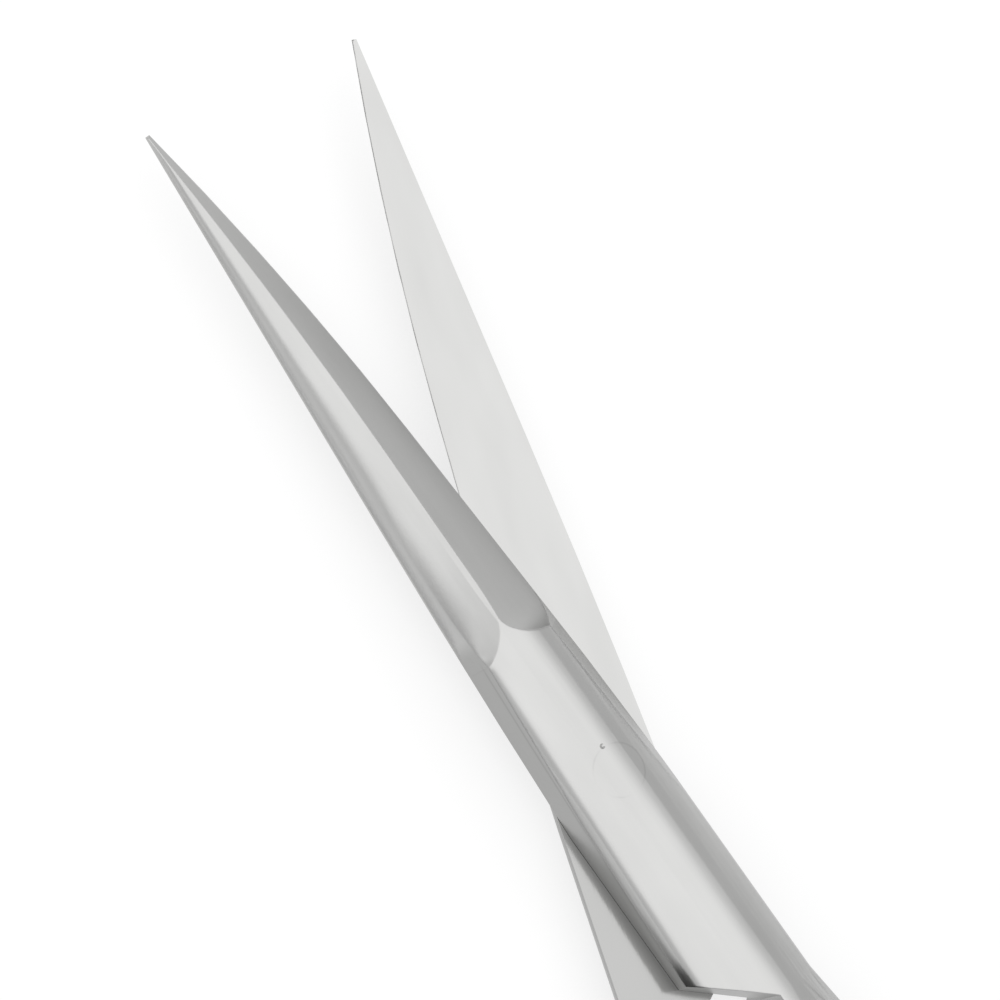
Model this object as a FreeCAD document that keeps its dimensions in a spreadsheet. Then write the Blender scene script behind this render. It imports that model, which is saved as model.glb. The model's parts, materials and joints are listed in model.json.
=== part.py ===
import FreeCAD, Part
import math
import os
import Sketcher
from FreeCAD import Placement, Rotation, Vector

# Fine dissecting scissors, straight, sharp/sharp: two equal forged halves and one slotted pivot screw.
# Row frame: the scissors lie on z = 0, open as pictured, with their tips towards +Y and the middle of
# their overall length and width at the origin. The pivot axis is along Z.
# Each half is drawn closed, in its own frame: x across, y towards the tip, z = 0 on its flat face,
# pivot axis at x = y = 0, outer side up. The lower half is the same forging turned over.

SIZES = [
    # Joint and stock
    ("blade_reach", 27.0, "pivot axis to blade tip"),
    ("edge_side", 2.06, "centre line to the forging's edge side at the joint"),
    ("spine_side", 2.27, "centre line to the forging's spine side at the joint"),
    ("half_thickness", 1.7, "thickness of one half at the joint"),
    ("crown_grind", 0.04, "depth of the flat ground on the crown of the joint"),
    ("crown_radius", 4.2, "radius of the joint's broad crown"),
    ("crown_angle", 13.0, "slope at which a crown turns into its corner, degrees"),
    ("flank_angle", 50.0, "slope at which a corner turns into its flank, degrees"),
    ("crown_side", 1.84, "centre line to the crown's edge on the spine side of the joint"),
    ("wall_top_side", 2.07, "centre line to the top of the joint's wall on the spine side"),
    ("wall_top_height", 1.12, "flat face to the top of the joint's wall on the spine side"),
    ("rear_crown_radius", 6.0, "radius of the crown's spine side at the rear of the joint"),
    ("rear_crown_side", 2.28, "centre line to the crown's edge there"),
    ("rear_wall_top_side", 2.5, "centre line to the top of the wall there"),
    ("joint_gap", 0.02, "running gap between the two flat faces"),
    ("opening_angle", 18.0, "angle between the two blades as pictured"),
    ("shoulder_back", 7.5, "pivot axis back to the outer corner of the shoulder"),
    ("crotch_back", 9.55, "pivot axis back to the crotch between the shanks"),
    ("step_clearance", 0.1, "gap between a shoulder and the other half's step when closed"),
    ("closing_gap", 0.06, "gap between the inner flats of the closed shanks"),
    ("flat_back", 34.0, "how far back the inner flat of a shank may reach"),
    # Blade outline and grinding
    ("edge_start", 3.7, "pivot axis to where the edge side starts to narrow"),
    ("edge_bend", 13.5, "pivot axis to where the straight heel of the edge turns into a curve"),
    ("edge_bend_offset", 1.57, "centre line to the edge where its curve starts"),
    ("edge_lean", 30.0, "lean of the edge side's wall behind the bevel, degrees"),
    ("spine_start", 1.0, "pivot axis back to where the spine starts to narrow"),
    ("spine_bend", 12.0, "pivot axis to where the curve of the spine turns into its straight front"),
    ("spine_bend_offset", 1.37, "centre line to the spine where its curve ends"),
    ("spine_lean", 10.0, "lean of the spine's wall towards the blade, degrees"),
    ("round_share", 0.76, "share of the spine wall's height that its rounded corner takes"),
    ("round_flatness", 1.25, "radius of the rounded corner against that of a tangent arc"),
    ("round_full", 13.0, "pivot axis to where the spine's corner is fully rounded"),
    ("round_heel", 3.0, "pivot axis to where the rounding wheel comes down"),
    ("round_lift", 0.32, "how far the rounding wheel is lifted off there"),
    ("tip_width", 0.18, "width of the blade's blunted point"),
    ("edge_land", 0.03, "height of the narrow land at the cutting edge"),
    ("bevel_angle", 36.0, "slope of the cutting bevel from the flat face, degrees"),
    ("bevel_heel", 6.75, "pivot axis to where the bevel's run-out starts"),
    ("bevel_wheel", 1.6, "radius of the grinding wheel at the bevel's run-out"),
    ("facet_slope", 27.0, "side slope of the blade's top facet, degrees"),
    ("facet_heel", 8.4, "pivot axis to where the top facet's run-out starts"),
    ("facet_heel_rise", 1.47, "height of the top facet's plane over the pivot line at its heel"),
    ("facet_tip_rise", 0.17, "height of the top facet's plane over the pivot line at the tip"),
    ("facet_wheel", 12.0, "radius of the grinding wheel at the top facet's run-out"),
    # Shank and finger ring
    ("waist_back", 23.0, "pivot axis back to the waist of the shank"),
    ("waist_offset", 1.95, "centre line to shank centre at the waist"),
    ("waist_width", 2.9, "shank width at the waist"),
    ("waist_thickness", 2.9, "shank thickness at the waist"),
    ("bow_back", 43.0, "pivot axis back to the bow of the shank"),
    ("bow_offset", 4.3, "centre line to shank centre at the bow"),
    ("bow_width", 2.8, "shank width at the bow"),
    ("bow_thickness", 2.8, "shank thickness at the bow"),
    ("ring_back", 74.0, "pivot axis back to the middle of the finger ring"),
    ("ring_offset", 12.6, "centre line to the middle of the finger ring"),
    ("ring_width", 18.0, "inner width of the finger ring"),
    ("ring_length", 22.0, "inner length of the finger ring"),
    ("ring_turn", 6.0, "outward turn of the finger ring, degrees"),
    ("bar_width", 3.1, "radial width of the ring's bar"),
    ("bar_thickness", 3.4, "thickness of the ring's bar"),
    ("root_angle", 20.0, "from the ring's top inwards to where the shank meets it, degrees"),
    ("root_width", 3.0, "shank width where it meets the ring"),
    ("root_thickness", 2.9, "shank thickness where it meets the ring"),
    # Pivot screw
    ("screw_diameter", 1.9, "diameter of the screw's shank"),
    ("running_clearance", 0.03, "radial clearance of the screw in the lower half"),
    ("head_diameter", 3.0, "diameter of the screw's head"),
    ("head_thickness", 0.66, "thickness of the screw's head"),
    ("head_recess", 0.05, "head face below the lower half's crown"),
    ("head_play", 0.03, "clearance under the head, and the counterbore's radial clearance"),
    ("head_chamfer", 0.08, "chamfer round the head's face"),
    ("slot_width", 0.5, "width of the driver slot"),
    ("slot_depth", 0.36, "depth of the driver slot"),
    ("slot_angle", 40.0, "turn of the driver slot, degrees"),
    ("stake_offset", 1.0, "pivot axis to the staking mark"),
    ("stake_radius", 0.1, "radius of the staking mark"),
    ("stake_depth", 0.07, "depth of the staking mark"),
]


class Size:
    """A length or angle together with the sheet expression that gives it."""

    def __init__(self, value, text=None):
        self.value = float(value)
        self.text = text if text is not None else repr(float(value))

    def join(self, other, sign, value):
        other = as_size(other)
        return Size(value(self.value, other.value), f"({self.text} {sign} {other.text})")

    def __add__(self, other):
        return self.join(other, "+", lambda a, b: a + b)

    def __sub__(self, other):
        return self.join(other, "-", lambda a, b: a - b)

    def __mul__(self, other):
        return self.join(other, "*", lambda a, b: a * b)

    def __truediv__(self, other):
        return self.join(other, "/", lambda a, b: a / b)

    def __neg__(self):
        return Size(-self.value, f"(0 - {self.text})")


def as_size(number):
    return number if isinstance(number, Size) else Size(number)


def root(size):
    return Size(math.sqrt(size.value), f"sqrt({size.text})")


def sine(angle):
    return Size(math.sin(math.radians(angle.value)), f"sin({angle.text} * 1 deg)")


def cosine(angle):
    return Size(math.cos(math.radians(angle.value)), f"cos({angle.text} * 1 deg)")


def tangent(angle):
    return Size(math.tan(math.radians(angle.value)), f"tan({angle.text} * 1 deg)")


doc = FreeCAD.newDocument("DissectingScissors")
sheet = doc.addObject("Spreadsheet::Sheet", "Sizes")
for row, (name, value, note) in enumerate(SIZES, start=1):
    sheet.set(f"A{row}", name)
    sheet.set(f"B{row}", repr(value))
    sheet.set(f"C{row}", note)
    sheet.setAlias(f"B{row}", name)
doc.recompute()


def cell(name):
    return Size(sheet.get(name), f"Sizes.{name}")


edge_side = cell("edge_side")
spine_side = cell("spine_side")
shoulder_slope = (cell("crotch_back") - cell("shoulder_back")) / spine_side
half_thickness = cell("half_thickness")
stock_height = half_thickness + cell("crown_grind")
beyond = 2.0    # how far a cutting outline reaches past the metal
hollow_run, hollow_rise = 0.6, 0.2    # end of a hollow on its wheel's circle, in radii along and up


def new_body(name):
    body = doc.addObject("PartDesign::Body", name)
    body.Label = name
    return body


def sketch_on(body, role, name, rise=None, turn=None, axis=Vector(0, 0, 1), shift=None):
    """A sketch on one of the body's own planes, moved along its normal, shifted in it, or turned."""
    sketch = body.newObject("Sketcher::SketchObject", f"{body.Name}_{name}")
    support = next(o for o in body.Origin.OriginFeatures if o.Role == role)
    sketch.AttachmentSupport = [(support, "")]
    sketch.MapMode = "FlatFace"
    angle = turn.value if turn else 0.0
    sketch.AttachmentOffset = Placement(Vector(0, 0, 0), Rotation(axis, angle))
    if turn:
        sketch.setExpression("AttachmentOffset.Rotation.Angle", f"{turn.text} * 1 deg")
    moves = {"z": rise}
    if shift:
        moves["x"], moves["y"] = shift
    for letter, move in moves.items():
        if move is not None:
            sketch.setExpression(f"AttachmentOffset.Base.{letter}", f"{as_size(move).text} * 1 mm")
    return sketch


def bind(sketch, kind, *where_and_size):
    """Add one dimension to a sketch and bind it to its size."""
    size = as_size(where_and_size[-1])
    index = sketch.addConstraint(Sketcher.Constraint(kind, *where_and_size[:-1], size.value))
    sketch.setExpression(f"Constraints[{index}]", f"{size.text} * 1 mm")


def arc_between(start, end, radius):
    """The short arc from start to end; a positive radius has its centre on the left."""
    chord = end - start
    middle = (start + end) * 0.5
    left = Vector(-chord.y, chord.x, 0).normalize()
    reach = math.sqrt(radius ** 2 - (chord.Length / 2) ** 2)
    centre = middle + left * math.copysign(reach, radius)
    first, last = (start, end) if radius > 0 else (end, start)
    angles = [math.atan2(p.y - centre.y, p.x - centre.x) for p in (first, last)]
    circle = Part.Circle(centre, Vector(0, 0, 1), abs(radius))
    return Part.ArcOfCircle(circle, angles[0], angles[1])


def outline(sketch, points, closed=True):
    """Draw lines and arcs through the points. A point's third value is the radius of the arc after it."""
    spots = [tuple(as_size(v) for v in point) for point in points]
    places = [Vector(p[0].value, p[1].value, 0) for p in spots]
    count = len(spots) if closed else len(spots) - 1
    ends = []
    for i in range(count):
        start, end = places[i], places[(i + 1) % len(spots)]
        if len(spots[i]) == 3:
            radius = spots[i][2]
            edge = sketch.addGeometry(arc_between(start, end, radius.value), False)
            ends.append((edge, 1, 2) if radius.value > 0 else (edge, 2, 1))
            size = radius if radius.value > 0 else -radius
            bind(sketch, "Radius", edge, size)
        else:
            edge = sketch.addGeometry(Part.LineSegment(start, end), False)
            ends.append((edge, 1, 2))
    for i in range(count):
        edge, start, end = ends[i]
        bind(sketch, "DistanceX", -1, 1, edge, start, spots[i][0])
        bind(sketch, "DistanceY", -1, 1, edge, start, spots[i][1])
        if closed or i + 1 < count:
            after, after_start, _ = ends[(i + 1) % count]
            sketch.addConstraint(Sketcher.Constraint("Coincident", edge, end, after, after_start))
    if not closed:
        edge, _, end = ends[-1]
        bind(sketch, "DistanceX", -1, 1, edge, end, spots[-1][0])
        bind(sketch, "DistanceY", -1, 1, edge, end, spots[-1][1])


def oval_radii(half, height):
    """Side and crown radius of an oval whose four tangent arcs meet at 45 degrees."""
    spread = (half - height) / (math.sqrt(2) - 1)
    side = half - spread / math.sqrt(2)
    return side, side + spread


def oval(sketch, middle, half, height, split=False):
    """A closed oval of four tangent arcs about (middle, 0); split divides its upper arc at the top."""
    middle, half, height = (as_size(v) for v in (middle, half, height))
    side, crown = oval_radii(half, height)
    rise = side / math.sqrt(2)
    run = half - side + rise
    points = [(middle + run, -rise, side), (middle + run, rise, crown),
              (middle - run, rise, side), (middle - run, -rise, crown)]
    if split:
        points.insert(2, (middle, height, crown))
    outline(sketch, points)


def arc_quarter(half, height, crown):
    """A quarter section of three tangent arcs, as (x, z, radius of the arc towards the side) from the top."""
    top, low = cell("crown_angle"), cell("flank_angle")
    near_x, near_z = crown * sine(top), height - crown * (as_size(1) - cosine(top))
    run, drop = sine(low) - sine(top), cosine(top) - cosine(low)
    rest = as_size(1) - sine(low)
    scale = run * cosine(low) - drop * rest
    corner = ((half - near_x) * cosine(low) - near_z * rest) / scale
    flank = (near_z * run - (half - near_x) * drop) / scale
    return [(as_size(0), height, crown), (near_x, near_z, corner),
            (half - flank * rest, flank * cosine(low), flank), (half, as_size(0), None)]


def ground_quarter(crown, side, wall_top):
    """The joint's quarter on the spine side: the crown's arc, a chamfer and a wall."""
    edge = stock_height - crown + root(crown * crown - side * side)
    return [(as_size(0), stock_height, crown), (side, edge, None),
            (wall_top, cell("wall_top_height"), None), (spine_side, as_size(0), None)]


def joint_section(body, name, along, rear=False):
    """The section of the bar at the joint, which is wider on the spine side at its rear."""
    profile = sketch_on(body, "XZ_Plane", f"{name}_section", rise=-along)
    prefix = "rear_" if rear else ""
    left = ground_quarter(*(cell(prefix + size) for size in ("crown_radius", "crown_side", "wall_top_side")))
    section(profile, as_size(0), arc_quarter(edge_side, stock_height, cell("crown_radius")), left)
    return profile


def loft(body, name, kind, sections, ruled, grows):
    """Add or cut away the shape that runs through the sections."""
    made = body.newObject(f"PartDesign::{kind}Loft", f"{body.Name}_{name}")
    made.Profile = sections[0]
    made.Sections = sections[1:]
    made.Ruled = ruled
    return finish(made, body, grows)


def section(sketch, middle, right, left):
    """A closed section about (middle, 0), mirrored top to bottom, from its right and left quarters."""
    points = []
    for quarter, side, top in ((right, 1, 1), (left, -1, 1), (left, -1, -1), (right, 1, -1)):
        rising = side == top
        starts = quarter[:0:-1] if rising else quarter[:-1]
        radii = [corner[2] for corner in (quarter[-2::-1] if rising else quarter[:-1])]
        for (x, z, _), radius in zip(starts, radii):
            place = (middle + x * side, z * top)
            points.append(place if radius is None else (*place, radius))
    outline(sketch, points)


def finish(feature, body, grows, tiny=False):
    """Recompute, and stop if the feature did nothing. A tiny one shows only in the count of faces."""
    body.Tip = feature
    doc.recompute()
    base = feature.BaseFeature
    change = feature.Shape.Volume - (base.Shape.Volume if base else 0)
    faces = len(feature.Shape.Faces) - (len(base.Shape.Faces) if base else 0)
    worked = faces > 0 if tiny else change * (1 if grows else -1) > 1e-6
    print(f"{feature.Name}: {feature.Shape.Volume:.3f} mm3 ({change:+.3f}), {faces:+d} faces")
    if "Invalid" in feature.State or not worked:
        raise RuntimeError(f"{feature.Name} did not do its work: {feature.State}")
    return feature


def pocket(body, sketch, name, reverse=False, both=False, taper=None):
    cut = body.newObject("PartDesign::Pocket", f"{body.Name}_{name}")
    cut.Profile = sketch
    cut.Type = "ThroughAll"
    cut.SideType = "Symmetric" if both else "One side"
    cut.Reversed = reverse
    if taper:
        cut.Type = "Length"
        cut.setExpression("Length", f"{(half_thickness * 2).text} * 1 mm")
        cut.setExpression("TaperAngle", f"{taper.text} * 1 deg")
    return finish(cut, body, False)


def add_stock(body):
    """The bar that the blade and the joint are ground from."""
    sections = [joint_section(body, "stock_rear", -cell("crotch_back"), rear=True),
                joint_section(body, "stock_joint", -cell("spine_start")),
                joint_section(body, "stock_front", cell("blade_reach") + beyond / 2)]
    loft(body, "stock", "Additive", sections, True, True)


def ring_axes():
    """Half width and half length of the oval along the middle of the ring's bar."""
    half_bar = cell("bar_width") / 2
    return cell("ring_width") / 2 + half_bar, cell("ring_length") / 2 + half_bar


def ring_root():
    """Where the shank ends: a point on the ring's top arc, as distances back and off the centre line."""
    half, length = ring_axes()
    _, crown = oval_radii(half, length)
    turn, angle = cell("ring_turn"), cell("ring_turn") + cell("root_angle")
    offset = cell("ring_offset") - (length - crown) * sine(turn) - crown * sine(angle)
    back = cell("ring_back") - (length - crown) * cosine(turn) - crown * cosine(angle)
    return back, offset


def add_shank(body):
    """The shank, lofted from the joint's section through its waist and bow into the ring."""
    root_back, root_offset = ring_root()
    sections = [joint_section(body, "shank_joint", -cell("crotch_back"), rear=True)]
    stations = [
        ("waist", cell("waist_back"), cell("waist_offset"), cell("waist_width") / 2,
         cell("waist_thickness") / 2),
        ("bow", cell("bow_back"), cell("bow_offset"), cell("bow_width") / 2, cell("bow_thickness") / 2),
        ("root", root_back, root_offset, cell("root_width") / 2, cell("root_thickness") / 2),
    ]
    for name, back, offset, half, height in stations:
        station = sketch_on(body, "XZ_Plane", f"{name}_section", rise=back)
        _, crown = oval_radii(half, height)
        quarter = arc_quarter(half, height, crown)
        section(station, offset, quarter, quarter)
        sections.append(station)
    loft(body, "shank", "Additive", sections, False, True)


def add_ring(body):
    """The finger ring: one rounded bar swept round an oval."""
    half, length = ring_axes()
    path = sketch_on(body, "XY_Plane", "ring_path", turn=cell("ring_turn"),
                     shift=(cell("ring_offset"), -cell("ring_back")))
    oval(path, 0, half, length, split=True)
    bar = sketch_on(body, "YZ_Plane", "ring_section", rise=cell("ring_offset"),
                    shift=(-cell("ring_back"), as_size(0)), turn=cell("ring_turn"), axis=Vector(0, 1, 0))
    oval(bar, length, cell("bar_width") / 2, cell("bar_thickness") / 2)
    doc.recompute()
    ring = body.newObject("PartDesign::AdditivePipe", f"{body.Name}_ring")
    ring.Profile = bar
    ring.Spine = (path, [f"Edge{i}" for i in (3, 4, 5, 1, 2)])
    finish(ring, body, True)


def cut_lap(body):
    """Remove the far side of the bar ahead of the step, so that the other half lies there."""
    back = cell("crotch_back") + cell("step_clearance")
    side = spine_side + beyond
    sketch = sketch_on(body, "XY_Plane", "lap_outline")
    outline(sketch, [(-side, -back), (0, -back), (side, shoulder_slope * side - back),
                     (side, cell("blade_reach") + beyond), (-side, cell("blade_reach") + beyond)])
    pocket(body, sketch, "lap")


def cut_closing_face(body):
    """Cut the shoulder and the inner flat where the two closed shanks meet."""
    side = spine_side + beyond
    inner = cell("closing_gap") / 2
    sketch = sketch_on(body, "XY_Plane", "closing_outline")
    outline(sketch, [(inner, -cell("flat_back")), (inner, -cell("crotch_back")),
                     (-side, shoulder_slope * side - cell("crotch_back")), (-side, -cell("flat_back"))])
    pocket(body, sketch, "closing_face", both=True)


def curve_radius(start, bend, end):
    """Radius of the arc from bend to end that carries on the line from start; a left turn is positive."""
    line_x, line_y = bend[0] - start[0], bend[1] - start[1]
    arc_x, arc_y = end[0] - bend[0], end[1] - bend[1]
    turn = (line_x * arc_y - line_y * arc_x) / root(line_x * line_x + line_y * line_y)
    return (arc_x * arc_x + arc_y * arc_y) / (turn * 2)


def edge_points():
    """Start of the edge's straight heel, its end, the tip, and the radius of the curve between the last two."""
    points = [(edge_side, cell("edge_start")), (cell("edge_bend_offset"), cell("edge_bend")),
              (cell("tip_width") / 2, cell("blade_reach"))]
    return *points, curve_radius(*points)


def spine_points():
    """Tip, end of the spine's straight front, start of its curve at the joint, and the curve's radius."""
    points = [(-cell("tip_width") / 2, cell("blade_reach")),
              (-cell("spine_bend_offset"), cell("spine_bend")), (-spine_side, -cell("spine_start"))]
    return *points, curve_radius(*points)


def facet_rise(along):
    """Height of the top facet's plane, square to it, at a distance from the pivot axis."""
    drop = (cell("facet_heel_rise") - cell("facet_tip_rise")) / (cell("blade_reach") - cell("facet_heel"))
    return cell("facet_heel_rise") - drop * (along - cell("facet_heel"))


def grind_outline(body):
    """Grind the blade's plan: a bowed spine and a curved edge, both leaning inwards, and a blunt point."""
    side, front = spine_side + beyond, cell("blade_reach") + beyond
    tip, bend, start, radius = spine_points()
    spine = sketch_on(body, "XY_Plane", "spine_outline")
    outline(spine, [(-side, start[1]), (*start, -radius), bend, tip, (tip[0], front), (-side, front)])
    pocket(body, spine, "spine", reverse=True, taper=cell("spine_lean"))
    start, bend, tip, radius = edge_points()
    back = cell("edge_start") + cell("half_thickness") * 3
    behind = (start[0] + (start[0] - bend[0]) / (bend[1] - start[1]) * back, start[1] - back)
    edge = sketch_on(body, "XY_Plane", "edge_outline")
    outline(edge, [(side, behind[1]), (side, front), (-side, front), (-side, tip[1]), (*tip, -radius),
                   bend, behind])
    pocket(body, edge, "edge", reverse=True, taper=cell("edge_lean"))


def grind_facet(body):
    """Grind the blade's top facet, a sloping plane that a wheel leaves behind it in a hollow."""
    heel, front = cell("facet_heel"), cell("blade_reach") + beyond
    wheel = cell("facet_wheel")
    run_out = wheel * hollow_run
    end_rise = facet_rise(heel - run_out) + wheel * hollow_rise
    sketch = sketch_on(body, "YZ_Plane", "facet_profile", turn=-cell("facet_slope"), axis=Vector(1, 0, 0))
    outline(sketch, [(heel - run_out, end_rise, wheel), (heel, cell("facet_heel_rise")),
                     (front, facet_rise(front)), (front, end_rise + beyond),
                     (heel - run_out, end_rise + beyond)])
    pocket(body, sketch, "facet", both=True)


def round_spine(body):
    """Round the corner between the spine's wall and the top facet, fading out towards the joint."""
    lean, slope = cell("spine_lean"), cell("facet_slope")
    tip, bend, _, _ = spine_points()
    stations = [("heel", cell("round_heel"), cell("round_lift")), ("full", cell("round_full"), as_size(0)),
                ("tip", cell("blade_reach") + beyond / 4, as_size(0))]
    sections = []
    for name, along, lift in stations:
        side = tip[0] + (bend[0] - tip[0]) * (tip[1] - along) / (tip[1] - bend[1])
        height = (facet_rise(along) / cosine(slope) + side * tangent(slope)) / (
            as_size(1) - tangent(lean) * tangent(slope))
        x = side + height * tangent(lean) - lift
        z = height + lift
        reach = height * cell("round_share")
        radius = reach * cell("round_flatness") / tangent((as_size(90) - lean - slope) / 2)
        out = reach * 0.07
        low = (x - reach * sine(lean) - out * cosine(lean), z - reach * cosine(lean) + out * sine(lean))
        high = (x + reach * cosine(slope) - out * sine(slope), z + reach * sine(slope) + out * cosine(slope))
        station = sketch_on(body, "XZ_Plane", f"round_{name}_section", rise=-along)
        outline(station, [(*high,), (x - beyond / 2, z + beyond / 2), (*low, -radius)])
        sections.append(station)
    loft(body, "round", "Subtractive", sections, True, False)


def grind_bevel(body):
    """Grind the cutting bevel along the edge; its wheel leaves the metal ahead of the joint."""
    heel_start, (bend_x, bend_y), _, radius = edge_points()
    slope = (heel_start[0] - bend_x) / (bend_y - heel_start[1])
    length = root(slope * slope + 1)
    centre_x, centre_y = bend_x - radius / length, bend_y - radius * slope / length
    start = cell("blade_reach") + beyond / 4
    start_x = centre_x + root(radius * radius - (start - centre_y) * (start - centre_y))
    heel, wheel, land = cell("bevel_heel"), cell("bevel_wheel"), cell("edge_land")
    end = heel - wheel * 0.01
    end_x = bend_x + slope * (bend_y - end)
    path = sketch_on(body, "XY_Plane", "bevel_path")
    outline(path, [(end_x, end), (bend_x, bend_y, radius), (start_x, start)], closed=False)
    height = stock_height + land + beyond / 4
    out = beyond / 4
    steepness = tangent(cell("bevel_angle"))
    profile = sketch_on(body, "XZ_Plane", "bevel_section", rise=-end)
    outline(profile, [(end_x + out, land - steepness * out), (end_x + out, height),
                      (end_x - (height - land) / steepness, height)])
    doc.recompute()
    bevel = body.newObject("PartDesign::SubtractivePipe", f"{body.Name}_bevel")
    bevel.Profile = profile
    bevel.Spine = (path, ["Edge1", "Edge2"])
    finish(bevel, body, False)
    low_x, low_z = bend_x + slope * (bend_y - heel) + out, land - steepness * out
    high_x, high_z = low_x - (height - low_z) / steepness, height
    lift_x, lift_z = wheel * sine(cell("bevel_angle")), wheel * cosine(cell("bevel_angle"))
    run_out = sketch_on(body, "XZ_Plane", "bevel_heel_section", rise=-heel)
    outline(run_out, [(low_x, low_z), (low_x + lift_x * 0.9, low_z + lift_z * 0.9),
                      (high_x + lift_x * 0.9, high_z + lift_z * 0.9), (high_x, high_z)])
    axle = [(low_x + lift_x, low_z + lift_z), (high_x + lift_x, high_z + lift_z)]
    line = run_out.addGeometry(Part.LineSegment(*(Vector(x.value, z.value, 0) for x, z in axle)), True)
    for vertex, (x, z) in enumerate(axle, start=1):
        bind(run_out, "DistanceX", -1, 1, line, vertex, x)
        bind(run_out, "DistanceY", -1, 1, line, vertex, z)
    heel_cut = body.newObject("PartDesign::Groove", f"{body.Name}_bevel_heel")
    heel_cut.Profile = run_out
    heel_cut.ReferenceAxis = (run_out, ["Axis0"])
    heel_cut.Angle = 80
    finish(heel_cut, body, False)


def grind_crown(body):
    """Grind the joint's crown flat, on the outer side and under the full shank."""
    front, back = cell("facet_heel"), cell("waist_back")
    sketch = sketch_on(body, "YZ_Plane", "crown_profile")
    outline(sketch, [(-back, half_thickness), (front, half_thickness),
                     (front, half_thickness + beyond), (-back, half_thickness + beyond)])
    pocket(body, sketch, "crown", both=True)
    under = sketch_on(body, "YZ_Plane", "under_profile")
    outline(under, [(-back, -half_thickness), (-back, -half_thickness - beyond),
                    (as_size(0), -half_thickness - beyond), (as_size(0), -half_thickness)])
    pocket(body, under, "underside", both=True)


def bore(body, name, radius, rise=None):
    """A round hole on the pivot axis, through the outer side from the given height up."""
    sketch = sketch_on(body, "XY_Plane", f"{name}_circle", rise=rise)
    circle = sketch.addGeometry(Part.Circle(Vector(0, 0, 0), Vector(0, 0, 1), radius.value), False)
    sketch.addConstraint(Sketcher.Constraint("Coincident", circle, 3, -1, 1))
    bind(sketch, "Radius", circle, radius)
    pocket(body, sketch, name, reverse=True)


def stake(body):
    """The punch mark on the screw's rim that locks it in the upper half."""
    depth, radius = cell("stake_depth"), cell("stake_radius")
    sketch = sketch_on(body, "YZ_Plane", "stake_profile", shift=(cell("stake_offset"), as_size(0)))
    outline(sketch, [(0, half_thickness - depth), (radius * 2, half_thickness + depth),
                     (0, half_thickness + depth)])
    mark = body.newObject("PartDesign::Groove", f"{body.Name}_stake")
    mark.Profile = sketch
    mark.ReferenceAxis = (sketch, ["V_Axis"])
    mark.Angle = 360
    finish(mark, body, False, tiny=True)


def build_half(name):
    """One forged half, closed and outer side up, without its pivot holes."""
    body = new_body(name)
    add_stock(body)
    add_shank(body)
    add_ring(body)
    cut_lap(body)
    cut_closing_face(body)
    grind_outline(body)
    grind_facet(body)
    round_spine(body)
    grind_bevel(body)
    grind_crown(body)
    return body


def build_screw(name):
    """The slotted pivot screw in the upper half's frame: head below, end ground flush above."""
    body = new_body(name)
    face = -(cell("joint_gap") + half_thickness - cell("head_recess"))
    seat = face + cell("head_thickness")
    head, shank, cut = cell("head_diameter") / 2, cell("screw_diameter") / 2, cell("head_chamfer")
    end = stock_height + cell("slot_depth")
    profile = sketch_on(body, "XZ_Plane", "screw_profile")
    outline(profile, [(0, face), (head - cut, face), (head, face + cut), (head, seat), (shank, seat),
                      (shank, end), (0, end)])
    turned = body.newObject("PartDesign::Revolution", f"{body.Name}_turned")
    turned.Profile = profile
    turned.ReferenceAxis = (profile, ["V_Axis"])
    turned.Angle = 360
    finish(turned, body, True)
    slot = sketch_on(body, "XY_Plane", "slot_outline", rise=face + cell("slot_depth"),
                     turn=cell("slot_angle"))
    half_slot = cell("slot_width") / 2
    outline(slot, [(-head * 2, -half_slot), (head * 2, -half_slot), (head * 2, half_slot),
                   (-head * 2, half_slot)])
    pocket(body, slot, "slot")
    crown = cell("crown_radius")
    side = shank * 1.5
    edge = stock_height - crown + root(crown * crown - side * side)
    flush = sketch_on(body, "XZ_Plane", "flush_profile")
    outline(flush, [(-side, edge, -crown), (side, edge), (side, end * 2), (-side, end * 2)])
    pocket(body, flush, "flush", both=True)
    flat = sketch_on(body, "YZ_Plane", "flat_profile")
    outline(flat, [(-side, half_thickness), (side, half_thickness), (side, end * 2), (-side, end * 2)])
    pocket(body, flat, "flat", both=True)
    return body


upper = build_half("upper_half")
bore(upper, "tapped_hole", cell("screw_diameter") / 2)
stake(upper)

lower = build_half("lower_half")
bore(lower, "pivot_bore", cell("screw_diameter") / 2 + cell("running_clearance"))
seat_depth = cell("head_recess") + cell("head_thickness") + cell("head_play")
bore(lower, "counterbore", cell("head_diameter") / 2 + cell("head_play"), rise=half_thickness - seat_depth)

screw = build_screw("pivot_screw")
stake(screw)

vertical = Vector(0, 0, 1)
opened = Rotation(vertical, cell("opening_angle").value / 2)
turned_over = opened.inverted() * Rotation(Vector(0, 1, 0), 180)
upper.Placement = Placement(Vector(0, 0, 0), opened)
ends = upper.Shape.optimalBoundingBox()
pivot_y = -(ends.YMin + ends.YMax) / 2
upper.Placement.Base = Vector(0, pivot_y, (half_thickness + cell("joint_gap")).value)
screw.Placement = upper.Placement
lower.Placement = Placement(Vector(0, pivot_y, half_thickness.value), turned_over)
doc.recompute()

for thing in doc.Objects:
    if "Invalid" in thing.State or "Error" in thing.State:
        raise RuntimeError(f"{thing.Name} failed: {thing.State}")

os.makedirs("parts", exist_ok=True)
for body in (upper, lower, screw):
    shape = body.Shape
    if shape.isNull() or not shape.isValid() or len(shape.Solids) != 1:
        raise RuntimeError(f"{body.Label} is not one sound solid")
    shape.exportStep(f"parts/{body.Label}.step")
    print(f"{body.Label}: {shape.Volume:.2f} mm3")
print(f"pivot axis at y = {pivot_y:.4f} mm")
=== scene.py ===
"""Dissecting scissors: steel finishes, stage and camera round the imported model, laid out as an add-on."""

import json
import math
from types import SimpleNamespace

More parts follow.
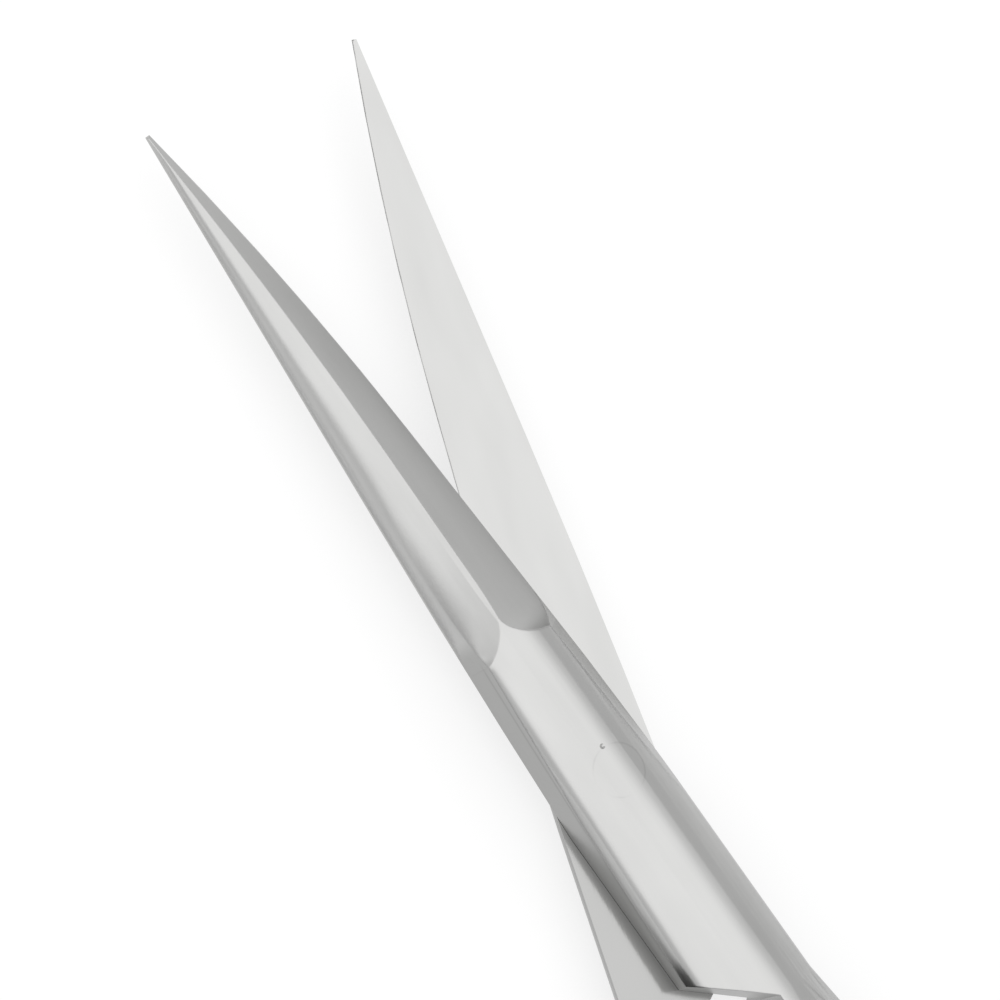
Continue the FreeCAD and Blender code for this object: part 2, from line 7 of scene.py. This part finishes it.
import bpy
from mathutils import Matrix, Vector

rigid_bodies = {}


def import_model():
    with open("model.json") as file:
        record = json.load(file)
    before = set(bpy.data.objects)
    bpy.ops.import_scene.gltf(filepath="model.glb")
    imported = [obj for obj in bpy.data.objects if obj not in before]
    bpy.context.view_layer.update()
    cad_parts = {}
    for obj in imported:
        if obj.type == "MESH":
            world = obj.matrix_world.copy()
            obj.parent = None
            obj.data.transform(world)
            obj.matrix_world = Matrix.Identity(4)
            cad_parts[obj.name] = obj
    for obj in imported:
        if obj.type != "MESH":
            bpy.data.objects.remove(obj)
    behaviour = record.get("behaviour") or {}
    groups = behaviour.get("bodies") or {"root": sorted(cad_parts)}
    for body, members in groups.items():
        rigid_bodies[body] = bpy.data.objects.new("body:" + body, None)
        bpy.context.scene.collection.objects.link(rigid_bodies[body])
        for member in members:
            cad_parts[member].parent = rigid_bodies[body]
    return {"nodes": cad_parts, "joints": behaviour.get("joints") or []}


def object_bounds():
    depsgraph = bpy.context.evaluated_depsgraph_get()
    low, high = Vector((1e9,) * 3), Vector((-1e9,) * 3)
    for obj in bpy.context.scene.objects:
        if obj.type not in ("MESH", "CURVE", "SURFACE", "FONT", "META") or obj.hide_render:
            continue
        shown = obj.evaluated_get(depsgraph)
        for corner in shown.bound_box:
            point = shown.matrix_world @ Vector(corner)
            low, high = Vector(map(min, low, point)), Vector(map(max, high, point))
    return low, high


bl_info = {
    "name": "Dissecting Scissors Finish",
    "version": (1, 0, 0),
    "blender": (4, 5, 0),
    "location": "View3D > Sidebar > Scissors",
    "description": "Gives the halves and the pivot screw their steel and sets the table, light and camera",
    "category": "Object",
}

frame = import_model()
CAD_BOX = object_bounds()

MM = 0.001
PIVOT = Vector(frame["joints"][0]["pos_m"])
MID_HEIGHT = (CAD_BOX[0][2] + CAD_BOX[1][2]) / 2
JOINT = Vector((PIVOT.x, PIVOT.y, MID_HEIGHT))    # where the halves meet on the pivot axis
SCREW_RADIUS = 0.95 * MM            # of the screw's shank, whose end shows on the crown
HALF_OPENING = math.radians(9.0)    # each blade is turned this far from the +Y axis as modelled

# A half's own frame runs across to its cutting edge, along to its tip and up to its crown, from the
# joint. The places below are in it. A pair of lengths is where a finish starts and where it is full.
CROWN_EDGE = -1.59 * MM             # across, beside the screw, on the spine side
CROWN_EDGE_RUN = 0.0375             # the edge's way across for each unit of its way along
RIDGE = -0.67 * MM                  # where the top facet rolls over to the spine, carried back to the screw
RIDGE_RUN = 0.03
JOINT_PLANE = 0.01 * MM             # the flat face lies half the joint's gap above the middle
JOINT_PLANE_BAND = 0.02 * MM
OUTER_HEIGHT = 0.1 * MM             # up from here the surface is polished, so the flat face stays sharp
SHANK_FADE = (-16 * MM, -11 * MM)   # the ground joint goes over into the forged shank
WALL_FRONT = (6.8 * MM, 6 * MM)
REAR_FACE = (0.0, -2 * MM)          # the flat face is painted darker behind the screw, as shade

# The chamfer and its crease on the spine side, from the blade's heel to the rear of the joint; the crease is
# darkened with a painted line of shade
CHAMFER_INSET = 0.12 * MM           # it starts this far inside the crown's edge
CHAMFER_WIDTH = 0.7 * MM
CHAMFER_FRONT = (5.9 * MM, 5.2 * MM)
JOINT_REAR = (-9.6 * MM, -9.2 * MM)
CREASE_HEIGHT = 1.06 * MM
CREASE_HALF_WIDTH = 0.09 * MM
CREASE_SIDE = -1 * MM
CREASE_SHADE_STRENGTH = 0.3

# The crown, its roll and the flank on the edge side
ROLL_WIDTH = (-0.1 * MM, 1.9 * MM)
BEVEL_HEEL = 4.9 * MM
FLANK_START = (0.9 * MM, 1.2 * MM)
FLANK_END = (5.5 * MM, 4.5 * MM)
FLANK_FRONT = 5.3 * MM
FLANK_SHADE_STRENGTH = 0.7

# The blade's rounded spine, its facet and its honed edge
SPINE_START = (0.1 * MM, 0.5 * MM)  # off the ridge
SPINE_HEEL = (5.6 * MM, 7.5 * MM)
SPINE_LENGTH = (9 * MM, 26 * MM)    # its softening is widest at the first and narrowest at the second
SPINE_TIP_SHARE = 0.6               # what is left of the softening's width at the tip
FACET_HEEL = 5.5 * MM
FACET_FADE = (12 * MM, 7.5 * MM)
HONING_HEEL = 5 * MM
HONING_BREAKS = (0.3, 0.6)          # of the grain's noise, so the line is stronger and fainter by turns
HONING_FAINTEST = 0.5
RIM_TURN = 0.995                    # below this cosine a softened normal shows that an edge is near

# How level a surface is: 1 lying flat and 0 standing upright
FLAT_LEVEL = 0.99
FACET_LEVEL = 0.905
CROWN_LEVEL = 0.82
STEEP_LEVEL = 0.5
CHAMFER_LEVEL = 0.3
FLANK_LEVEL = (0.8, 0.55)
WALL_LEVEL = (0.45, 0.2)

# The screw's seam on the crown, and the painted shade in the corners of the flat face
SEAM_FADE = (0.05 * MM, 0.01 * MM)
SEAM_BREAKS = (0.45, 0.6)           # of the clouds' noise
SEAM_HEIGHT = 1.2 * MM
CORNER_DISTANCE = 0.6 * MM
CORNER_FADE = (0.9, 0.55)           # of the open air over the face
CORNER_SHADE_STRENGTH = 0.6

CLOUD_STRETCH = 4                   # the broad streaks are this many times longer than wide


def srgb(text):
    """Linear colour with alpha 1 from an sRGB hex text such as '#C9C8C5'."""
    parts = [int(text[i:i + 2], 16) / 255 for i in (1, 3, 5)]
    linear = [c / 12.92 if c <= 0.04045 else ((c + 0.055) / 1.055) ** 2.4 for c in parts]
    return (*linear, 1.0)


class SteelSettings(bpy.types.PropertyGroup):
    colour: bpy.props.FloatVectorProperty(
        name="Steel", description="Colour of the bare stainless steel",
        subtype="COLOR", size=4, min=0, max=1, default=srgb("#C1C1C0"))
    worn_colour: bpy.props.FloatVectorProperty(
        name="Handled steel", description="Colour of the steel in the duller streaks of the grain",
        subtype="COLOR", size=4, min=0, max=1, default=srgb("#B3B3B2"))
    roughness: bpy.props.FloatProperty(
        name="Satin", description="Roughness of the satin ground faces", min=0.05, max=1, default=0.33)
    roughness_spread: bpy.props.FloatProperty(
        name="Satin spread", description="How much the roughness changes from streak to streak",
        min=0, max=0.3, default=0.05)
    inner_roughness: bpy.props.FloatProperty(
        name="Inner face", description="Roughness of the finely ground flat face between the halves",
        min=0.02, max=1, default=0.15)
    cloud: bpy.props.FloatProperty(
        name="Clouds", description="Width of the broad duller streaks along the steel",
        min=0.0002, max=0.02, default=0.0016, subtype="DISTANCE", unit="LENGTH", precision=4)
    # Real grinding lines are a few hundredths of a millimetre apart. They are drawn coarser, so they show.
    grain: bpy.props.FloatProperty(
        name="Grain spacing", description="Spacing of the grinding lines across the grain",
        min=0.00002, max=0.002, default=0.00014, subtype="DISTANCE", unit="LENGTH", precision=5)
    grain_length: bpy.props.FloatProperty(
        name="Grain length", description="Length of one grinding line",
        min=0.0002, max=0.05, default=0.004, subtype="DISTANCE", unit="LENGTH", precision=4)
    grain_depth: bpy.props.FloatProperty(
        name="Grain depth", description="Depth of the grinding lines",
        min=0, max=0.0001, default=0.0000012, subtype="DISTANCE", unit="LENGTH", precision=7)
    # Painted shade: this darker colour is laid on the steep walls, on the flank on the edge side and on the
    # flat face's rear.
    wall_shade_colour: bpy.props.FloatVectorProperty(
        name="Beaded walls", description="Colour of the steep walls, as the beads leave them",
        subtype="COLOR", size=4, min=0, max=1, default=srgb("#A7A7A6"))
    # This colour marks the honed line and the screw's seam, and also paints shade in the crease and in the
    # flat face's corners.
    honed_and_shade_colour: bpy.props.FloatVectorProperty(
        name="Honed edge", description="Colour of the honed line along the cutting edge",
        subtype="COLOR", size=4, min=0, max=1, default=srgb("#6E6E6D"))
    honed_width: bpy.props.FloatProperty(
        name="Honed width", description="Width of the honed line",
        min=0, max=0.001, default=0.00006, subtype="DISTANCE", unit="LENGTH", precision=5)
    seam_strength: bpy.props.FloatProperty(
        name="Screw seam", description="How dark the ring round the flush-ground screw end is",
        min=0, max=1, default=0.18)
    edge_round: bpy.props.FloatProperty(
        name="Broken edges", description="Radius that polishing leaves on the ground ridges",
        min=0, max=0.001, default=0.0001, subtype="DISTANCE", unit="LENGTH", precision=5)
    spine_round: bpy.props.FloatProperty(
        name="Soft spine", description="Radius of the polishing over the spine's rounding, at its rear",
        min=0, max=0.002, default=0.0011, subtype="DISTANCE", unit="LENGTH", precision=5)
    flank_round: bpy.props.FloatProperty(
        name="Soft flank", description="Radius of the polishing where the crown turns into the flank",
        min=0, max=0.002, default=0.0004, subtype="DISTANCE", unit="LENGTH", precision=5)
    crown_roll: bpy.props.FloatProperty(
        name="Crown roll", description="How far the crown's polish falls away on the edge side",
        min=0, max=0.001, default=0.0005, subtype="DISTANCE", unit="LENGTH", precision=6)
    chamfer_fall: bpy.props.FloatProperty(
        name="Chamfer", description="How far the broken crown edge falls away on the spine side",
        min=0, max=0.001, default=0.0004, subtype="DISTANCE", unit="LENGTH", precision=6)
    facet_tilt: bpy.props.FloatProperty(
        name="Facet tilt", description="Slope that the polish adds to the facet's heel",
        min=0, max=1, default=0.22)
    joint_reach: bpy.props.FloatProperty(
        name="Flush joint", description="Radius round the screw inside which the seam stays sharp",
        min=0, max=0.01, default=0.0013, subtype="DISTANCE", unit="LENGTH", precision=4)


class StageSettings(bpy.types.PropertyGroup):
    floor_colour: bpy.props.FloatVectorProperty(
        name="Table", description="Colour of the white table",
        subtype="COLOR", size=4, min=0, max=1, default=srgb("#8C8C8C"))
    floor_size: bpy.props.FloatProperty(
        name="Table size", description="Length of the table's side",
        min=0.2, max=20, default=6.0, subtype="DISTANCE", unit="LENGTH")
    floor_glow: bpy.props.FloatProperty(
        name="Table lift", description="Light added where the table is seen, so that it reads as white",
        min=0, max=1, default=0.72)
    lamp_centre: bpy.props.FloatVectorProperty(
        name="Lamp", description="Middle of the soft overhead lamp",
        size=3, subtype="XYZ", unit="LENGTH", default=(-0.5, -0.6, 2.0), precision=3)
    lamp_size: bpy.props.FloatVectorProperty(
        name="Lamp size", description="Width and length of the soft overhead lamp",
        size=2, subtype="XYZ", unit="LENGTH", default=(5.9, 3.6), precision=3)
    lamp_level: bpy.props.FloatProperty(
        name="Lamp level", description="Brightness that the lamp adds to the room's, where 1 is white",
        min=0, max=5, default=0.72)
    room_colour: bpy.props.FloatVectorProperty(
        name="Room", description="Colour of the room's even light",
        subtype="COLOR", size=4, min=0, max=1, default=srgb("#E4E4E4"))


class CameraSettings(bpy.types.PropertyGroup):
    target: bpy.props.FloatVectorProperty(
        name="Target", description="Point in the middle of the picture",
        size=3, subtype="XYZ", unit="LENGTH", default=(0.0012728, 0.0392992, 0.0017), precision=4)
    distance: bpy.props.FloatProperty(
        name="Distance", description="From the target to the camera",
        min=0.05, max=5, default=0.2, subtype="DISTANCE", unit="LENGTH")
    lean: bpy.props.FloatProperty(
        name="Lean", description="Lean of the camera over the scissors' left side",
        min=-1.5, max=1.5, default=math.radians(21.42), subtype="ANGLE", unit="ROTATION")
    roll: bpy.props.FloatProperty(
        name="Roll", description="Turn of the picture, which points the tips up and to the left",
        min=-3.2, max=3.2, default=math.radians(27.004), subtype="ANGLE", unit="ROTATION")
    lens: bpy.props.FloatProperty(
        name="Lens", description="Focal length for a 36 mm wide picture, in millimetres",
        min=10, max=1000, default=208.13)


def settings(name):
    return getattr(bpy.context.scene, name)


def deselect():
    """Nothing selected and nothing active, ready for one modelling step."""
    for thing in bpy.context.view_layer.objects:
        thing.select_set(False)
    bpy.context.view_layer.objects.active = None


def node(tree, kind, links=None, **values):
    """Add a shader node and return it.

    links maps its inputs, by name or number, to a value, a socket, or a node whose first output in use
    is meant. The other values are the node's properties.
    """
    made = tree.nodes.new("ShaderNode" + kind)
    for key, value in values.items():
        setattr(made, key, value)
    for key, value in (links or {}).items():
        named = [socket for socket in made.inputs if socket.enabled and socket.name == key]
        target = named[0] if named else made.inputs[key]
        if isinstance(value, bpy.types.Node):
            value = next(socket for socket in value.outputs if socket.enabled)
        if isinstance(value, bpy.types.NodeSocket):
            tree.links.new(value, target)
        else:
            target.default_value = value
    return made


def product(tree, *factors):
    """Multiply factors, each of which is a number, a socket, a node or a limit.

    The limit (value, start, end) fades smoothly from 0 at start to 1 at end, or from low to high where
    they follow. The limit (value, "GREATER_THAN" or "LESS_THAN", bound) is a sharp step.
    """
    total = None
    for factor in factors:
        if isinstance(factor, tuple) and isinstance(factor[1], str):
            value, comparison, bound = factor
            factor = node(tree, "Math", {0: value, 1: bound}, operation=comparison)
        elif isinstance(factor, tuple):
            value, start, end, *spread = factor
            low, high = spread or (0.0, 1.0)
            factor = node(tree, "MapRange", {
                "Value": value, "From Min": start, "From Max": end, "To Min": low, "To Max": high},
                interpolation_type="SMOOTHSTEP")
        total = factor if total is None else node(tree, "Math", {0: total, 1: factor}, operation="MULTIPLY")
    return total


def new_material(name):
    material = bpy.data.materials.new(name)
    material.use_nodes = True
    material.node_tree.nodes.clear()
    return material, material.node_tree


def places_on_half(tree, steel, turned_over):
    """Where a shaded point lies on its half, how level it is there, and the finish's two noises.

    The half's own frame has its joint at the origin, its blade along +Y, its edge to +X and its crown up.
    """
    place = node(tree, "TexCoord")
    centred = node(tree, "Mapping", {"Vector": place.outputs["Object"], "Location": tuple(-JOINT)})
    own = node(tree, "Mapping", {
        "Vector": centred, "Rotation": (0, math.pi if turned_over else 0, -HALF_OPENING)})
    split = node(tree, "SeparateXYZ", {"Vector": own})
    at = SimpleNamespace(across=split.outputs["X"], along=split.outputs["Y"], up=split.outputs["Z"])

    at.surface = node(tree, "NewGeometry")
    face = node(tree, "SeparateXYZ", {"Vector": at.surface.outputs["True Normal"]})
    curve = node(tree, "SeparateXYZ", {"Vector": at.surface.outputs["Normal"]})
    at.level = node(tree, "Math", {0: face.outputs["Z"]}, operation="ABSOLUTE")
    at.smooth_level = node(tree, "Math", {0: curve.outputs["Z"]}, operation="ABSOLUTE")

    stretched = node(tree, "Mapping", {
        "Vector": own, "Scale": (1 / steel.grain, 1 / steel.grain_length, 1 / steel.grain)})
    at.lines = node(tree, "TexNoise", {"Vector": stretched, "Scale": 1.0, "Detail": 3.0, "Roughness": 0.6})
    drawn_out = node(tree, "Mapping", {
        "Vector": own, "Scale": (1 / steel.cloud, 1 / (CLOUD_STRETCH * steel.cloud), 1 / steel.cloud)})
    at.clouds = node(tree, "TexNoise", {"Vector": drawn_out, "Scale": 1.0, "Detail": 2.0, "Roughness": 0.5})

    flush = node(tree, "CombineXYZ", {"X": at.across, "Y": at.along})
    at.reach = node(tree, "VectorMath", {0: flush}, operation="LENGTH")

    # The crown's edge on the spine side runs outwards to the rear, and so does the ridge on the facet.
    crown_edge = node(tree, "Math", {
        0: at.along, 1: CROWN_EDGE_RUN, 2: CROWN_EDGE}, operation="MULTIPLY_ADD")
    chamfer_top = node(tree, "Math", {0: crown_edge, 1: CHAMFER_INSET}, operation="ADD")
    past_top = node(tree, "Math", {0: chamfer_top, 1: at.across}, operation="SUBTRACT")
    at.below_edge = node(tree, "Math", {0: past_top, 1: 0.0}, operation="MAXIMUM")
    ridge = node(tree, "Math", {0: at.along, 1: RIDGE_RUN, 2: RIDGE}, operation="MULTIPLY_ADD")
    at.left_of_ridge = node(tree, "Math", {0: ridge, 1: at.across}, operation="SUBTRACT")
    return at


def outer_tone(tree, steel, at):
    """Colour of the ground and beaded outside, with painted shade on the steep walls, the flank and the
    crease, and the screw's seam.
    """
    tone = node(tree, "Mix", {
        "Factor": at.clouds, "A": steel.colour, "B": steel.worn_colour}, data_type="RGBA")
    # Painted shade: the steeper a wall stands, the darker it is painted.
    walls = product(tree, (at.smooth_level, *WALL_LEVEL), (at.along, *WALL_FRONT))
    tone = node(tree, "Mix", {"Factor": walls, "A": tone, "B": steel.wall_shade_colour}, data_type="RGBA")

    # Painted shade: the flank on the edge side is painted darker still, towards the wall colour.
    flank = product(tree, (at.smooth_level, *FLANK_LEVEL, 0.0, FLANK_SHADE_STRENGTH),
                    (at.across, "GREATER_THAN", 0.0), (at.along, "LESS_THAN", FLANK_FRONT))
    tone = node(tree, "Mix", {"Factor": flank, "A": tone, "B": steel.wall_shade_colour}, data_type="RGBA")

    # Painted shade: a dark line along the crease on the spine side.
    joint_length = product(tree, (at.along, *CHAMFER_FRONT), (at.along, *JOINT_REAR))
    from_crease = node(tree, "Math", {0: at.up, 1: CREASE_HEIGHT}, operation="SUBTRACT")
    off_crease = node(tree, "Math", {0: from_crease}, operation="ABSOLUTE")
    crease = product(tree, (off_crease, CREASE_HALF_WIDTH, 0.0, 0.0, CREASE_SHADE_STRENGTH), joint_length,
                     (at.level, "LESS_THAN", STEEP_LEVEL), (at.across, "LESS_THAN", CREASE_SIDE))
    tone = node(tree, "Mix", {"Factor": crease, "A": tone, "B": steel.honed_and_shade_colour}, data_type="RGBA")

    # The screw's end is ground flush, so its seam is only a faint broken ring on the crown.
    from_seam = node(tree, "Math", {0: at.reach, 1: SCREW_RADIUS}, operation="SUBTRACT")
    off_seam = node(tree, "Math", {0: from_seam}, operation="ABSOLUTE")
    seam = product(tree, (off_seam, *SEAM_FADE, 0.0, steel.seam_strength), (at.clouds, *SEAM_BREAKS),
                   (at.up, "GREATER_THAN", SEAM_HEIGHT))
    return node(tree, "Mix", {"Factor": seam, "A": tone, "B": steel.honed_and_shade_colour}, data_type="RGBA")


def inner_tone(tree, steel, at, flat, tone):
    """Add to a tone what the flat face has: painted shade on its rear and in its corners, and the honed line
    at its edge.
    """
    # Painted shade: the flat face behind the screw is painted darker.
    rear = product(tree, flat, (at.along, *REAR_FACE))
    open_air = node(tree, "AmbientOcclusion", {"Distance": CORNER_DISTANCE}, samples=8).outputs["AO"]
    tone = node(tree, "Mix", {"Factor": rear, "A": tone, "B": steel.wall_shade_colour}, data_type="RGBA")
    # Painted shade: the flat face is painted darker still where the walls beside it close off the open air.
    corner = product(tree, rear, (open_air, *CORNER_FADE, 0.0, CORNER_SHADE_STRENGTH))
    tone = node(tree, "Mix", {"Factor": corner, "A": tone, "B": steel.honed_and_shade_colour}, data_type="RGBA")

    rim = node(tree, "Bevel", {"Radius": steel.honed_width}, samples=4)
    straight = node(tree, "VectorMath", {
        0: rim, 1: at.surface.outputs["True Normal"]}, operation="DOT_PRODUCT")
    honed = product(tree, flat, (straight, "LESS_THAN", RIM_TURN), (at.across, "GREATER_THAN", 0.0),
                    (at.along, "GREATER_THAN", HONING_HEEL), (at.lines, *HONING_BREAKS, HONING_FAINTEST, 1.0))
    return node(tree, "Mix", {"Factor": honed, "A": tone, "B": steel.honed_and_shade_colour}, data_type="RGBA")


def soft_edges(tree, steel, at, outer):
    """Normals as polishing softens the ridges, more along the spine and where the crown meets the flank."""
    spine = product(tree, (at.left_of_ridge, *SPINE_START), (at.along, *SPINE_HEEL),
                    (at.along, *SPINE_LENGTH, steel.spine_round, SPINE_TIP_SHARE * steel.spine_round))
    flank = product(tree, (at.across, *FLANK_START), (at.along, *FLANK_END), steel.flank_round)
    softer = node(tree, "Math", {0: spine, 1: flank}, operation="MAXIMUM")
    softest = node(tree, "Math", {0: softer, 1: steel.edge_round}, operation="MAXIMUM")
    radius = product(tree, (at.reach, "GREATER_THAN", steel.joint_reach), outer, softest)
    return node(tree, "Bevel", {"Radius": radius}, samples=8)


def polished_shape(tree, steel, at, outer):
    """Height that the polish takes off: the crown's roll, the front of the chamfer and the facet's heel."""
    crown = node(tree, "Math", {0: at.level, 1: CROWN_LEVEL}, operation="GREATER_THAN")
    behind_bevel = node(tree, "Math", {0: at.along, 1: BEVEL_HEEL}, operation="LESS_THAN")
    off_bevel = node(tree, "Math", {0: crown, 1: behind_bevel}, operation="MAXIMUM")
    crowned = product(tree, (at.across, *ROLL_WIDTH, 0.0, -steel.crown_roll), off_bevel,
                      (at.along, *SHANK_FADE))

    way_down = node(tree, "MapRange", {"Value": at.below_edge, "From Min": 0.0, "From Max": CHAMFER_WIDTH})
    chamfer = product(tree, way_down, way_down, -steel.chamfer_fall)
    chamfered = product(tree, chamfer, (at.along, *CHAMFER_FRONT), (at.along, *SHANK_FADE),
                        (at.level, "GREATER_THAN", CHAMFER_LEVEL))

    beside_ridge = node(tree, "Math", {0: at.left_of_ridge, 1: 0.0}, operation="MAXIMUM")
    faceted = product(tree, beside_ridge, -steel.facet_tilt, (at.along, *FACET_FADE),
                      (at.level, "LESS_THAN", FACET_LEVEL), (at.along, "GREATER_THAN", FACET_HEEL))

    ground = node(tree, "Math", {0: crowned, 1: chamfered}, operation="ADD")
    total = node(tree, "Math", {0: ground, 1: faceted}, operation="ADD")
    return product(tree, total, outer)


def satin_steel(name, turned_over=False, inner_face=True):
    """Satin ground martensitic stainless steel, forged, ground along its length and glass beaded.

    It gives a grey metal with broad soft highlights, faint streaks along the length and broken ridges.
    The flat face between the halves is ground finer and mirrors more, and its cutting edge is honed.
    """
    steel = settings("scissors_steel")
    material, tree = new_material(name)
    at = places_on_half(tree, steel, turned_over)
    tone = outer_tone(tree, steel, at)
    satin = node(tree, "MapRange", {
        "Value": at.lines, "From Min": 0.0, "From Max": 1.0,
        "To Min": steel.roughness - steel.roughness_spread,
        "To Max": steel.roughness + steel.roughness_spread}, interpolation_type="SMOOTHSTEP")
    if inner_face:
        on_plane = node(tree, "Math", {0: at.up, 1: JOINT_PLANE, 2: JOINT_PLANE_BAND}, operation="COMPARE")
        flat = product(tree, on_plane, (at.level, "GREATER_THAN", FLAT_LEVEL))
        tone = inner_tone(tree, steel, at, flat, tone)
        satin = node(tree, "Mix", {"Factor": flat, "A": satin, "B": steel.inner_roughness})

    outer = node(tree, "Math", {0: at.up, 1: OUTER_HEIGHT}, operation="GREATER_THAN")
    shape = node(tree, "Bump", {
        "Strength": 1.0, "Distance": 1.0, "Height": polished_shape(tree, steel, at, outer),
        "Normal": soft_edges(tree, steel, at, outer)})
    grain = node(tree, "Bump", {
        "Strength": 1.0, "Distance": steel.grain_depth, "Height": at.lines, "Normal": shape})
    shader = node(tree, "BsdfPrincipled", {
        "Base Color": tone, "Metallic": 1.0, "Roughness": satin, "Normal": grain})
    node(tree, "OutputMaterial", {"Surface": shader})
    return material


def put_material(piece, material):
    piece.data.materials.clear()
    piece.data.materials.append(material)


class SCISSORS_OT_finish_halves(bpy.types.Operator):
    """Give both forged halves their satin ground steel, with the grain along each blade"""
    bl_idname = "scissors.finish_halves"
    bl_label = "Finish the Halves"

    def execute(self, context):
        put_material(frame["nodes"]["upper_half"], satin_steel("satin_steel_upper_half"))
        put_material(frame["nodes"]["lower_half"], satin_steel("satin_steel_lower_half", turned_over=True))
        return {"FINISHED"}


class SCISSORS_OT_finish_screw(bpy.types.Operator):
    """Give the pivot screw its turned and flush-ground steel"""
    bl_idname = "scissors.finish_screw"
    bl_label = "Finish the Screw"

    def execute(self, context):
        put_material(frame["nodes"]["pivot_screw"], satin_steel("turned_steel_screw", inner_face=False))
        return {"FINISHED"}


class SCISSORS_OT_set_stage(bpy.types.Operator):
    """Set the white table, the soft overhead lamp and the room's even light"""
    bl_idname = "scissors.set_stage"
    bl_label = "Set the Stage"

    def execute(self, context):
        stage = settings("scissors_stage")
        deselect()
        bpy.ops.mesh.primitive_plane_add(size=stage.floor_size, location=(0, 0, 0))
        floor = context.active_object
        floor.name = "white_table"
        # White melamine laminate, matt: it scatters evenly, and is lifted to white only where it is seen.
        material, tree = new_material("white_table_laminate")
        seen = node(tree, "LightPath")
        direct = node(tree, "Math", {
            0: seen.outputs["Is Camera Ray"], 1: seen.outputs["Is Glossy Ray"]}, operation="MAXIMUM")
        shown = node(tree, "Math", {0: direct, 1: seen.outputs["Is Transmission Ray"]}, operation="MAXIMUM")
        matt = node(tree, "BsdfDiffuse", {"Color": stage.floor_colour})
        glow = node(tree, "Emission", {"Strength": product(tree, shown, stage.floor_glow)})
        both = node(tree, "AddShader", {0: matt, 1: glow})
        node(tree, "OutputMaterial", {"Surface": both})
        put_material(floor, material)

        bpy.ops.object.light_add(type="AREA", location=stage.lamp_centre)
        lamp = context.active_object
        lamp.name = "overhead_softbox"
        lamp.data.shape = "RECTANGLE"
        lamp.data.size, lamp.data.size_y = stage.lamp_size
        lamp.data.energy = stage.lamp_level * math.pi * stage.lamp_size[0] * stage.lamp_size[1]
        lamp.visible_camera = False

        world = bpy.data.worlds.new("even_room")
        world.use_nodes = True
        world.node_tree.nodes.clear()
        room = node(world.node_tree, "Background", {"Color": stage.room_colour, "Strength": 1.0})
        node(world.node_tree, "OutputWorld", {"Surface": room})
        context.scene.world = world
        context.scene.view_settings.view_transform = "Standard"
        return {"FINISHED"}


class SCISSORS_OT_place_camera(bpy.types.Operator):
    """Place the camera over the blades, as the photograph was taken"""
    bl_idname = "scissors.place_camera"
    bl_label = "Place the Camera"

    def execute(self, context):
        eye = settings("scissors_camera")
        towards = Vector((-math.sin(eye.lean), 0, math.cos(eye.lean)))
        level = Vector((math.cos(eye.lean), 0, math.sin(eye.lean)))
        along = Vector((0, 1, 0))
        up = along * math.cos(eye.roll) + level * math.sin(eye.roll)
        right = level * math.cos(eye.roll) - along * math.sin(eye.roll)
        turn = Matrix((right, up, towards)).transposed()
        bpy.ops.object.camera_add()
        camera = context.active_object
        camera.name = "camera"
        place = Vector(eye.target) + towards * eye.distance
        camera.matrix_world = Matrix.Translation(place) @ turn.to_4x4()
        camera.data.sensor_width = 36
        camera.data.lens = eye.lens
        camera.data.clip_start = 0.001
        context.scene.camera = camera
        return {"FINISHED"}


class SCISSORS_PT_panel(bpy.types.Panel):
    bl_idname = "SCISSORS_PT_panel"
    bl_label = "Dissecting Scissors"
    bl_space_type = "VIEW_3D"
    bl_region_type = "UI"
    bl_category = "Scissors"

    def draw(self, context):
        for group in GROUPS:
            owner = getattr(context.scene, group)
            column = self.layout.column(align=True)
            for name in type(owner).__annotations__:
                column.prop(owner, name)
        for step in STEPS:
            self.layout.operator(step)


STEPS = ("scissors.place_camera", "scissors.finish_halves", "scissors.finish_screw", "scissors.set_stage")
GROUPS = {
    "scissors_steel": SteelSettings,
    "scissors_stage": StageSettings,
    "scissors_camera": CameraSettings,
}
CLASSES = (*GROUPS.values(), SCISSORS_OT_place_camera, SCISSORS_OT_finish_halves, SCISSORS_OT_finish_screw,
           SCISSORS_OT_set_stage, SCISSORS_PT_panel)


def register():
    for cls in CLASSES:
        bpy.utils.register_class(cls)
    for name, cls in GROUPS.items():
        setattr(bpy.types.Scene, name, bpy.props.PointerProperty(type=cls))


def unregister():
    for name in GROUPS:
        delattr(bpy.types.Scene, name)
    for cls in reversed(CLASSES):
        bpy.utils.unregister_class(cls)


def main():
    register()
    deselect()
    for step in STEPS:
        group, name = step.split(".")
        getattr(getattr(bpy.ops, group), name)()


if __name__ == "__main__":
    main()
